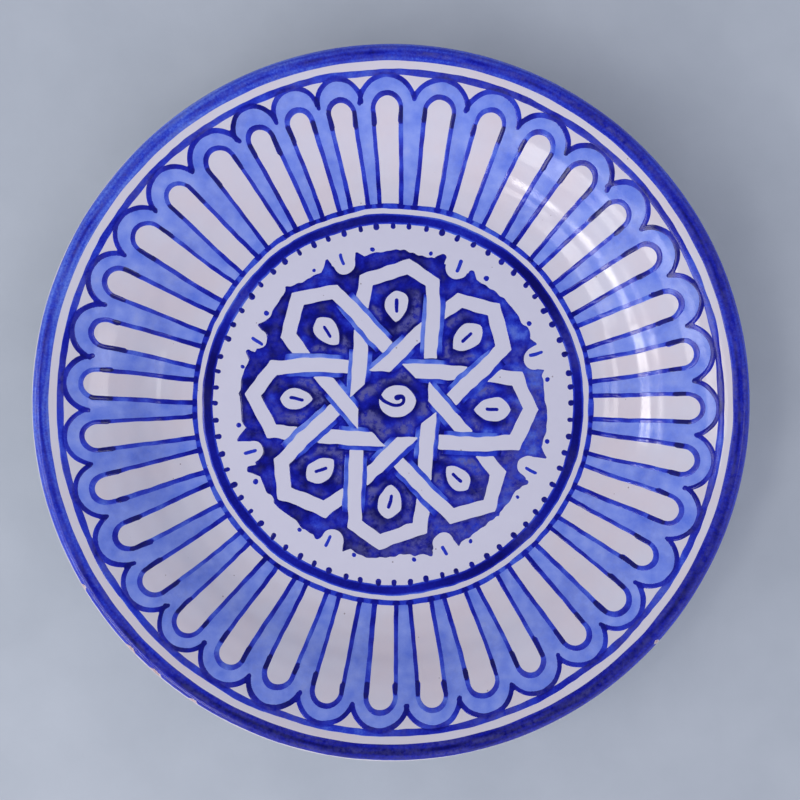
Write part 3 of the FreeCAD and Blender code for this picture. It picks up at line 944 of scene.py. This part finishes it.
def wall_paint():
    """The wall as the painter's hand wandered over it, and the strokes and wash of its petals."""
    radius, angle = np.meshgrid(WALL.first, WALL.second, indexing="ij")
    x, y = shaky(radius * np.cos(angle), radius * np.sin(angle), 0.22, 0.07, 100)
    radius, angle = np.hypot(x, y), np.degrees(np.arctan2(y, x))
    outline, scallop, legs, tongue, field = (Coat(radius.shape) for _ in range(5))
    field.add(SCALLOP_CUSP_RADIUS + 0.6 - radius)
    for petal in petals():
        near, along, across = beside_ray(radius, angle, petal.angle, 10)
        leg, leg_ink = leg_strokes(petal, along, across)
        arch, arch_ink, bloom_and_sheen = arch_stroke(petal, along, across)
        legs.add(leg, near=near)
        outline.add(np.maximum(leg, arch), leg_ink + 0.8 * arch_ink, bloom_and_sheen, near)
        edge, edge_ink = scallop_stroke(petal, along, across)
        scallop.add(edge, edge_ink, soaked(edge) * petal.bloom_and_sheen * smooth_step(141, 146, along), near)
        centre, arc_radius, _ = scallop_arc(petal)
        field.add(arc_radius - np.hypot(along - centre, across), near=near)
        tongue.add(tongue_depth(petal, along, across), near=near)
    outline.depth = np.minimum(outline.depth, radius - OUTER_LINE_OUTER + 0.6)
    outline.ink = np.minimum(outline.ink, OUTLINE_FULL_INK)
    scallop.ink = np.minimum(scallop.ink, SCALLOP_FULL_INK)
    wash = np.minimum(np.minimum(field.depth, -tongue.depth), radius - OUTER_LINE_OUTER + 0.7)
    return x, y, radius, outline, scallop, legs.depth, wash


def tinted(pigment, bloom_and_sheen=0.0):
    return {"pigment": np.clip(pigment, 0, 1), "bloom_and_sheen": np.clip(bloom_and_sheen + np.zeros_like(pigment), 0, 1)}


def ring_depth(radius, outer, width, wobble):
    """Depth inside a ring of paint whose two edges move in and out by wobble."""
    return width / 2 + wobble - np.abs(radius - outer + width / 2)


def paint_wall():
    x, y, radius, outline, scallop, legs, wash = wall_paint()
    petal_blue = cobalt("cobalt_petals", 0.22, 0.30)
    ink = outline.ink + soaked(outline.depth) * 0.07 * drift(x, y, 9, 31)
    painted_sheet("petal_outline_paint", "petal_outlines", WALL, outline.depth, petal_blue,
                  tinted(ink, outline.bloom_and_sheen))
    depth = np.minimum(scallop.depth, BORDER_OUTER - BORDER_WIDTH + 0.8 - radius)
    ink = scallop.ink + soaked(depth) * 0.08 * drift(x, y, 12, 32)
    painted_sheet("scallop_paint", "scallop_outlines", WALL, depth, petal_blue,
                  tinted(ink, scallop.bloom_and_sheen))

    water = 0.265 + 0.035 * drift(x, y, 16, 33) + 0.02 * drift(x, y, 5, 34)
    water = water + 0.05 * np.exp(-np.maximum(wash, 0) / 0.9)
    grey = 0.5 + 0.5 * drift(x, y, 30, 35)
    stride = 2
    fields = [field[::stride, ::stride] for field in (wash, water, grey)]
    painted_sheet(
        "petal_wash_paint", "petal_wash", WALL.coarser(stride), fields[0],
        cobalt("cobalt_wash", 0.06, 0.15, 0.09), tinted(fields[1], fields[2]), lift=WASH_LIFT,
    )

    rings_blue = cobalt("cobalt_rings", 0.20, 0.25)
    depth = ring_depth(radius, OUTER_LINE_OUTER, OUTER_LINE_WIDTH, 0.10 * drift(x, y, 15, 36))
    ink = soaked(depth) * (0.58 + 0.09 * drift(x, y, 60, 37) + 0.24 * soaked(legs + 0.3))
    painted_sheet("medallion_outer_line_paint", "medallion_outer_line", WALL, depth, rings_blue,
                  tinted(ink))
    depth = ring_depth(radius, THICK_RING_OUTER, THICK_RING_WIDTH, 0.08 * drift(x, y, 15, 38))
    ink = soaked(depth) * (0.56 + 0.30 * smooth_step(0.3, 1.2, depth) + 0.10 * drift(x, y, 70, 39))
    bloom_and_sheen = smooth_step(0.2, 1.2, drift(x, y, 60, 40))
    painted_sheet("medallion_ring_paint", "medallion_ring", WALL, depth, rings_blue,
                  tinted(ink, bloom_and_sheen))
    depth = bead_depth(x, y)
    ink = soaked(depth) * (0.86 + 0.06 * drift(x, y, 4, 41))
    painted_sheet("bead_paint", "bead_teeth", WALL, depth, rings_blue, tinted(ink, 0.4 * ink))

    depth = ring_depth(radius, BORDER_OUTER, BORDER_WIDTH, 0.12 * drift(x, y, 22, 42))
    ink = 0.64 + 0.08 * drift(x, y, 70, 43) + 0.04 * drift(x, y, 9, 44) + 0.16 * soaked(scallop.depth)
    painted_sheet("border_line_paint", "border_line", WALL, depth, cobalt("cobalt_border", 0.24, 0.4),
                  tinted(soaked(depth) * ink, 0.5 + 0.5 * drift(x, y, 35, 45)))


def bead_depth(x, y):
    """The beads along the inside of the thick ring, each a short stroke out of it."""
    draw = np.random.default_rng(68)
    radius = np.hypot(x, y)
    angle = np.degrees(np.arctan2(y, x))
    coat = Coat(x.shape)
    root = THICK_RING_OUTER - THICK_RING_WIDTH + 1.0
    for number in range(BEAD_COUNT):
        bead_angle = (number + draw.normal(0, 0.05)) * 360 / BEAD_COUNT
        near, along, across = beside_ray(radius, angle, bead_angle, 3)
        width = BEAD_WIDTH * draw.normal(0.95, 0.09)
        tip = BEAD_TIP_RADIUS + width / 2 + draw.normal(0, 0.22)
        distance, share = to_segment(along, across, (tip, 0), (root, draw.normal(0, 0.25)))
        coat.add(width / 2 * (1 - 0.25 * share) - distance, near=near)
    return coat.depth


# ---------------------------------------------------------------- the rim band


def rim_band():
    """The band over the rim. On the side of the chips it is worn off the outside of the lip."""
    start = length_at(RIM_BAND_INNER)
    end = FRONT_LENGTH[-1]
    grid = Grid(
        np.arange(start - 0.8, end + 0.01, 0.4),
        np.linspace(0, 2 * math.pi, WALL_COLUMNS, endpoint=False),
        on_dish,
        closes=True,
    )
    length, angle = np.meshgrid(grid.first, grid.second, indexing="ij")
    x, y = RIM_RADIUS * np.cos(angle), RIM_RADIUS * np.sin(angle)
    worn = smooth_step(-0.1, 0.5, np.cos(angle - math.radians(208)))
    lip_angle = 20 + 21 * worn + 2 * drift(x, y, 30, 50) + worn * drift(x, y, 5, 51)
    last = end - np.radians(lip_angle) * LIP_RADIUS
    depth = np.minimum(length - start + 0.12 * drift(x, y, 25, 52), last - length)
    depth = np.minimum(depth, 0.4 - 4 * chip_depth(length, angle))
    across = length - start
    streak = 3.4 + 0.35 * drift(x, y, 90, 53)
    load = 0.16 * np.cos(angle - math.radians(130)) + 0.07 * np.cos(2 * angle - math.radians(330))
    ink = 0.60 - load + 0.08 * smooth_step(0.3, 1.6, across) + 0.04 * drift(x, y, 60, 54)
    ink = ink + 0.16 * np.exp(-(((across - streak) / 0.8) ** 2)) * (1 + 0.5 * drift(x, y, 25, 55))
    ink = ink + 0.05 * np.sin(across * 3.1 + 2 * drift(x, y, 60, 56))
    ink = ink - 0.12 * smooth_step(5.5, 8.5, across)
    bloom_and_sheen = 0.5 + 0.5 * drift(x, y, 28, 57) * np.sin(across * 1.4)
    painted_sheet("rim_band_paint", "rim_band", grid, depth, cobalt("cobalt_rim", 0.42, 0.45),
                  tinted(ink * soaked(depth), bloom_and_sheen))


# ---------------------------------------------------------------- the interlace

FLOOR_STEP = 0.5
FLOOR_HALF = 79.0
FLOOR_AXIS = np.arange(-FLOOR_HALF, FLOOR_HALF + 0.01, FLOOR_STEP)
FLOOR = Grid(FLOOR_AXIS, FLOOR_AXIS, place_plan)


class Loop:
    """One loop of the interlace in its own view: out along its axis, across to its left."""

    def __init__(self, number, x, y, draw):
        angle = ROSETTE_TURN + number * LOOP_PITCH
        self.left_way = unit(angle + 90)
        self.out, self.across = along_ray(x, y, angle)
        self.left_offset = STRAP_OFFSET + draw.normal(0, 0.3)
        self.right_offset = STRAP_OFFSET + draw.normal(0, 0.3)
        self.apex = (LOOP_APEX + draw.normal(0, 0.6), LOOP_APEX_SHIFTS[number])
        self.shoulder = LOOP_SHOULDER + draw.normal(0, 0.6)
        self.seed_shift = (draw.normal(0, 0.5), draw.normal(0, 0.5))
        self.seed_scale = draw.uniform(0.84, 1.02)

    def depth(self):
        """Depth inside the loop's centre-line, which has straight sides and a pointed roof."""
        taper = smooth_step(SLANT_CROSSING + 2, self.shoulder, self.out)
        side = np.where(self.across > 0, self.left_offset, self.right_offset)
        inside = side - (STRAP_OFFSET - LOOP_SHOULDER_OFFSET) * taper - np.abs(self.across)
        for way in (1, -1):
            corner = (self.shoulder, way * LOOP_SHOULDER_OFFSET)
            run, rise = self.apex[0] - corner[0], corner[1] - self.apex[1]
            length = math.hypot(run, rise)
            roof = -way * ((self.across - corner[1]) * run + (self.out - corner[0]) * rise) / length
            inside = np.minimum(inside, roof)
        return inside


def white_straps(loops, depths):
    """Depth inside the straps where they show: each dips under its neighbours twice."""
    covered = STRAP_WIDTH / 2 + EDGE_LINE_WIDTH
    shown = np.full(depths[0].shape, UNPAINTED)
    for number, (loop, depth) in enumerate(zip(loops, depths)):
        band = STRAP_WIDTH / 2 - np.abs(depth)
        over = loops[(number + 1) % LOOP_COUNT]
        clear_of_over = np.abs(over.across + over.right_offset) - covered
        begin = (loop.out + loop.across - SHORT_STRAP_START - STRAP_OFFSET) / math.sqrt(2)
        left = np.minimum(np.minimum(band, clear_of_over), begin)
        right = np.minimum(band, loop.out - STRAP_OFFSET - covered)
        shown = np.maximum(shown, np.where(loop.across > 0, left, right))
    return shown


def edge_lines(loops, x, y):
    """Depth and ink of the lines that flank a strap where it passes over its neighbours."""
    reach_across = STRAP_WIDTH / 2 + EDGE_LINE_WIDTH
    depth = np.full(x.shape, UNPAINTED)
    ink = np.zeros_like(depth)
    darker = 0.10 * smooth_step(-50, 50, x - y)
    for loop in loops:
        from_left = loop.across - loop.left_offset
        begin = (loop.out + loop.across - SHORT_STRAP_START - STRAP_OFFSET) / math.sqrt(2)
        end = STRAP_OFFSET + STRAP_WIDTH + EDGE_LINE_WIDTH - loop.out
        left_ends = np.minimum(begin, end)
        from_right = loop.across + loop.right_offset
        begin = loop.out - SLANT_CROSSING + EDGE_LINE_BEFORE_CROSSING
        end = SLANT_CROSSING + EDGE_LINE_AFTER_CROSSING - loop.out
        for ends, offset in ((left_ends, from_left), (np.minimum(begin, end), from_right)):
            line = np.minimum(reach_across - np.abs(offset), ends)
            facing = np.sign(offset) * (loop.left_way[1] - 0.7 * loop.left_way[0])
            better = line > depth
            depth = np.where(better, line, depth)
            lost = 1 - smooth_step(0, 3.0, ends)
            ink = np.where(better, 0.42 - 0.08 * facing + 0.3 * lost + darker, ink)
    return depth, ink


def seed_depth(loop):
    """Depth inside the almond in a loop, with its point towards the centre of the plate."""
    out = (loop.out - loop.seed_shift[0] - SEED_WIDEST_RADIUS) / loop.seed_scale
    across = (loop.across - loop.seed_shift[1]) / loop.seed_scale
    inner_length = SEED_WIDEST_RADIUS - SEED_TIP_RADIUS
    outer_length = SEED_OUTER_RADIUS - SEED_WIDEST_RADIUS
    share = np.where(out < 0, -out / inner_length, out / outer_length)
    power = np.where(out < 0, 1.9, 2.5)
    width = SEED_HALF_WIDTH * np.sign(1 - share) * np.abs(1 - share**power) ** 0.8
    slope = SEED_HALF_WIDTH * power * np.maximum(share, 0.05) ** (power - 1)
    slope = slope / np.where(out < 0, inner_length, outer_length)
    return (width - np.abs(across)) / np.sqrt(1 + slope**2)


def outer_field(loops, depths, x, y):
    """Depth inside the dark ground's wavy outside: horns and a notch stand between two loops."""
    radius, angle = np.hypot(x, y), np.arctan2(y, x)
    lobes = GROUND_LOBE * np.cos(LOOP_COUNT * (angle - math.radians(ROSETTE_TURN)))
    ahead = [np.minimum(depth, loop.out) for loop, depth in zip(loops, depths)]
    round_loops = np.max(ahead, axis=0) + STRAP_WIDTH / 2 + GROUND_MARGIN
    field = np.maximum(round_loops, GROUND_RADIUS + lobes - radius)
    field = field + 0.55 * drift(x, y, 17, 60) + 0.35 * drift(x, y, 6, 61)
    draw = np.random.default_rng(8)
    for number in range(LOOP_COUNT):
        out, across = along_ray(x, y, ROSETTE_TURN + (number + 0.5) * LOOP_PITCH + draw.normal(0, 0.8))
        for side in (1, -1):
            root = (HORN_ROOT[0], side * HORN_ROOT[1])
            tip = (HORN_TIP_RADIUS + draw.normal(0, 0.8), side * (HORN_TIP_OFFSET + draw.normal(0, 0.5)))
            distance, share = to_segment(out, across, root, tip)
            half_width = HORN_ROOT_HALF_WIDTH + share * (HORN_TIP_HALF_WIDTH - HORN_ROOT_HALF_WIDTH)
            field = np.maximum(field, half_width - distance)
        notch = (NOTCH_CENTRE_RADIUS + draw.normal(0, 0.7), draw.normal(0, 0.4))
        distance, share = to_segment(out, across, notch, (NOTCH_CENTRE_RADIUS + 20, notch[1]))
        field = np.minimum(field, distance - NOTCH_RADIUS * (draw.normal(1.0, 0.05) + 1.5 * share))
    return field


def eye_swirl(x, y):
    """The comma in the white eye: a blob that curls right and runs out to the left."""
    x, y = x - EYE_CENTRE[0], y - EYE_CENTRE[1]
    blob = SWIRL_BLOB_RADIUS - np.hypot(x - SWIRL_BLOB_CENTRE[0], y - SWIRL_BLOB_CENTRE[1])
    curl = SWIRL_CURL_HALF_WIDTH - to_arc(x, y, SWIRL_CURL_CENTRE, SWIRL_CURL_RADIUS, (-100, 90))
    tail = SWIRL_TAIL_HALF_WIDTH - to_arc(x, y, SWIRL_TAIL_CENTRE, SWIRL_TAIL_RADIUS, (-150, -90))
    return np.maximum(blob, np.maximum(curl, tail))


def paint_interlace():
    plain_x, plain_y = np.meshgrid(FLOOR.first, FLOOR.second, indexing="ij")
    x, y = shaky(plain_x, plain_y, 0.38, 0.16, 200)
    draw = np.random.default_rng(9)
    loops = [Loop(number, x, y, draw) for number in range(LOOP_COUNT)]
    depths = [loop.depth() for loop in loops]
    straps = white_straps(loops, depths)
    lines, line_ink = edge_lines(loops, x, y)
    lines = np.minimum(lines, -straps)
    seeds = np.max([seed_depth(loop) for loop in loops], axis=0)
    eye = EYE_RADIUS - np.hypot(x - EYE_CENTRE[0], y - EYE_CENTRE[1])
    ground = outer_field(loops, depths, x, y)
    for reserve in (straps, lines - 0.5, seeds, eye):
        ground = np.minimum(ground, -reserve)

    halo = np.exp(-(((seeds + 1.4) / 1.3) ** 2)) + np.exp(-(((eye + 1.5) / 1.8) ** 2))
    radius = np.hypot(x, y)
    ink = 0.80 - 0.20 * smooth_step(10, 66, x) + 0.09 * drift(x, y, 22, 70)
    ink = ink + 0.05 * drift(x, y, 7, 71) + 0.10 * halo + 0.10 * np.exp(-np.maximum(ground, 0))
    # Painted sheen: a violet-grey veil of reflected room light is painted into the ground's colour. It
    # lies in patches over the inner ground and spreads over the outer ground towards the lower right.
    bloom_and_sheen = smooth_step(-0.8, 0.2, drift(x, y, 14, 72)) * smooth_step(0.8, 2.2, ground)
    bloom_and_sheen = bloom_and_sheen * (1 - 0.8 * smooth_step(42, 60, radius)) * (1 - 0.8 * halo)
    bloom_and_sheen = bloom_and_sheen + 0.4 * smooth_step(10, 70, x - y) * smooth_step(48, 60, radius)
    painted_sheet("interlace_ground_paint", "interlace_ground", FLOOR, ground,
                  cobalt("cobalt_ground", 0.16, 1.0, cloudiness=0.75), tinted(ink * soaked(ground), bloom_and_sheen))
    line_ink = soaked(lines) * (line_ink + 0.05 * drift(x, y, 8, 73))
    painted_sheet("strap_edge_line_paint", "strap_edge_lines", FLOOR, lines,
                  cobalt("cobalt_edge_lines", 0.14, 0.2), tinted(line_ink),
                  lift=1.3 * PAINT_LIFT)
    paint_marks(loops, x, y, eye)


def paint_marks(loops, x, y, eye):
    """The small strokes in the seeds and the eye, and the dashes and dots round the interlace."""
    marks_blue = cobalt("cobalt_marks", 0.12, 0.2)
    draw = np.random.default_rng(10)
    seeds, marks = Coat(x.shape), Coat(x.shape)
    for loop in loops:
        middle = SEED_STROKE_RADIUS + loop.seed_shift[0] + draw.normal(0, 0.3)
        half = SEED_STROKE_LENGTH / 2 * draw.normal(1, 0.08)
        lean = draw.normal(0, 0.4)
        start = (middle - half, loop.seed_shift[1] - lean)
        end = (middle + half, loop.seed_shift[1] + lean)
        distance, _ = to_segment(loop.out, loop.across, start, end)
        seeds.add(SEED_STROKE_WIDTH / 2 - distance)
    ink = soaked(seeds.depth) * (0.62 + 0.2 * soaked(seeds.depth - 0.3))
    painted_sheet("seed_stroke_paint", "seed_strokes", FLOOR, seeds.depth, marks_blue, tinted(ink))

    swirl = np.minimum(eye_swirl(x, y), eye + 0.6)
    ink = 0.86 * soaked(swirl)
    painted_sheet("centre_swirl_paint", "centre_swirl", FLOOR, swirl, marks_blue, tinted(ink))

    for number in range(LOOP_COUNT):
        out, across = along_ray(x, y, ROSETTE_TURN + (number + 0.5) * LOOP_PITCH + draw.normal(0, 0.6))
        middle = DASH_RADIUS + draw.normal(0, 0.5)
        lean = draw.normal(0, 0.35)
        half = DASH_LENGTH / 2 * draw.normal(1, 0.1)
        distance, _ = to_segment(out, across, (middle - half, -lean), (middle + half, lean))
        dash = DASH_WIDTH / 2 - distance
        marks.add(dash, 0.62 * soaked(dash))
        for side in (1, -1):
            dot_cos, dot_sin = unit(side * (DOT_ANGLE + draw.normal(0, 0.5)))
            at = DOT_RADIUS + draw.normal(-0.4, 0.6)
            size = DOT_DIAMETER / 2 * draw.normal(1, 0.15)
            dot = size - np.hypot(out - at * dot_cos, across - at * dot_sin)
            marks.add(dot, 0.70 * soaked(dot))
    painted_sheet("field_mark_paint", "field_marks", FLOOR, marks.depth, marks_blue, tinted(marks.ink))


# ---------------------------------------------------------------- the pieces

clay_body()
front_glaze()
back_glazes()
paint_wall()
rim_band()
paint_interlace()


STAGE_SIZE = 14.0


def stage_floor():
    bpy.ops.mesh.primitive_plane_add(size=STAGE_SIZE, location=(0, 0, 0))
    floor = bpy.context.object
    floor.name = "floor"
    shader = Shader("pale_floor")
    colour = shader.ramp(shader.noise(60, 6), ((0.3, (0.50, 0.55, 0.60)), (0.7, (0.56, 0.61, 0.66))))
    shader.bump(shader.noise(3, 4), 0.05)
    floor.data.materials.append(shader.finish(colour, 0.6))


stage_floor()


CAMERA_HEIGHT = 0.55
CAMERA_OFFSET = (0.024, -0.017)
SENSOR_WIDTH = 36
FRAME_WIDTH = 0.357


def camera():
    """The camera looks straight down; its frame is FRAME_WIDTH wide at the height of the lip."""
    data = bpy.data.cameras.new("camera")
    camera = bpy.data.objects.new("camera", data)
    bpy.context.scene.collection.objects.link(camera)
    camera.location = (*CAMERA_OFFSET, LIP_TOP * MM + CAMERA_HEIGHT)
    data.lens = (CAMERA_HEIGHT + LIP_RADIUS * MM) / FRAME_WIDTH * SENSOR_WIDTH
    data.shift_x = -0.0559
    data.shift_y = 0.0509
    bpy.context.scene.camera = camera


PANE_DISTANCE = 1.5


def window_pane(azimuth, elevation, wide, high, brightness):
    """A soft window pane round the plate; its place and its size are angles seen from the plate."""
    data = bpy.data.lights.new("window_pane", "AREA")
    data.shape = "RECTANGLE"
    data.size = 2 * PANE_DISTANCE * math.tan(math.radians(wide / 2)) * math.cos(math.radians(elevation))
    data.size_y = 2 * PANE_DISTANCE * math.tan(math.radians(high / 2))
    data.energy = brightness * math.pi * data.size * data.size_y
    data.color = (1.0, 0.97, 0.95)
    pane = bpy.data.objects.new("window_pane", data)
    bpy.context.scene.collection.objects.link(pane)
    turn, rise = math.radians(azimuth), math.radians(elevation)
    toward = Vector((math.cos(rise) * math.cos(turn), math.cos(rise) * math.sin(turn), math.sin(rise)))
    pane.location = toward * PANE_DISTANCE
    pane.rotation_mode = "QUATERNION"
    pane.rotation_quaternion = (-toward).to_track_quat("-Z", "Y")


PANE_COUNT = 5
FIRST_PANE_AZIMUTH = 176
PANE_PITCH = 14


def windows():
    """Windows on the left, seen in the right wall as two broken bands, and a small one opposite."""
    for number in range(PANE_COUNT):
        azimuth = FIRST_PANE_AZIMUTH + number * PANE_PITCH
        window_pane(azimuth, 66 - 4.5 * number, 11, 10, 4.0)
        window_pane(azimuth, 32, 11, 4, 12.0)
    window_pane(356, 55, 12, 8, 2.5)


ROOM_COLOURS = ((0.0, (0.46, 0.47, 0.54)), (0.7, (0.36, 0.37, 0.43)), (0.95, (0.09, 0.09, 0.11)))
NEAR_SIDE_STRENGTH = 2.7
FAR_SIDE_STRENGTH = 1.1
MIRRORED_SHARE = 0.4


def room():
    """A dim room above the plate, brighter on the near side and near the horizon.

    It is dimmer in reflections, where the windows do the work, so that the dark cobalt stays dark.
    """
    world = bpy.data.worlds.new("room")
    bpy.context.scene.world = world
    nodes = Nodes(world, "Generated")
    direction = nodes.new("SeparateXYZ")
    nodes.link(nodes.place, direction.inputs[0])
    colour = nodes.ramp(direction.outputs["Z"], ROOM_COLOURS)
    side = nodes.spread(direction.outputs["Y"], -1.0, 1.0, NEAR_SIDE_STRENGTH, FAR_SIDE_STRENGTH)
    mirrored = nodes.new("LightPath").outputs["Is Glossy Ray"]
    dimming = nodes.spread(mirrored, 0.0, 1.0, 1.0, MIRRORED_SHARE)
    background = nodes.tree.nodes["Background"]
    nodes.link(colour, background.inputs["Color"])
    nodes.link(nodes.times(side, dimming), background.inputs["Strength"])


camera()
windows()
room()
bpy.context.scene.view_settings.view_transform = "Standard"
